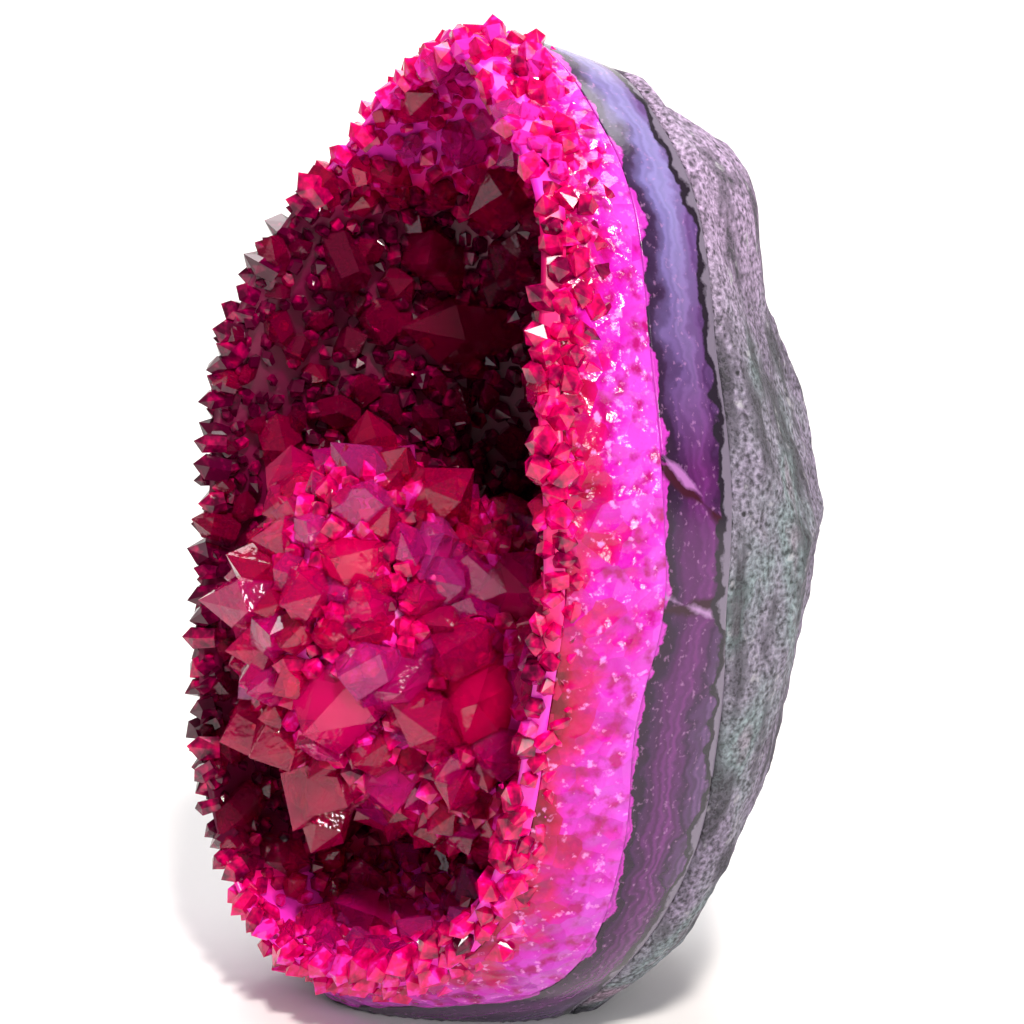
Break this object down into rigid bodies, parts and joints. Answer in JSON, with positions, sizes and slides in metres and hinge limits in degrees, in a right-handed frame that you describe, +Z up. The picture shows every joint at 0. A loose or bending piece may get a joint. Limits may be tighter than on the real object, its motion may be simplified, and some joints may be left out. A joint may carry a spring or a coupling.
{
  "type": "quartz geode",
  "caption": "Half geode ground open on one side, lined with pink crystals and a mound of radiating points, inside banded violet agate and rough grey rock, standing on a ground flat.",
  "frame": {"origin": "centre of the stone's bounding box in plan, on the plane of its ground base", "axes": "+Z up along the stone's height, -Y out of the crystal hollow"},
  "size_m": [0.0809, 0.0781, 0.1269],
  "materials": {
    "matrix_rock": "rough broken grey host rock",
    "agate": "polished banded violet chalcedony",
    "pink_quartz": "polished translucent pink quartz",
    "pink_crystal": "clear dyed pink to crimson quartz points with bright facets"
  },
  "bodies": {
    "root": {"matrix_rind": "matrix_rock", "agate_band": "agate", "quartz_layer": "pink_quartz", "crystal_crust": "pink_crystal"}
  },
  "joints": []
}
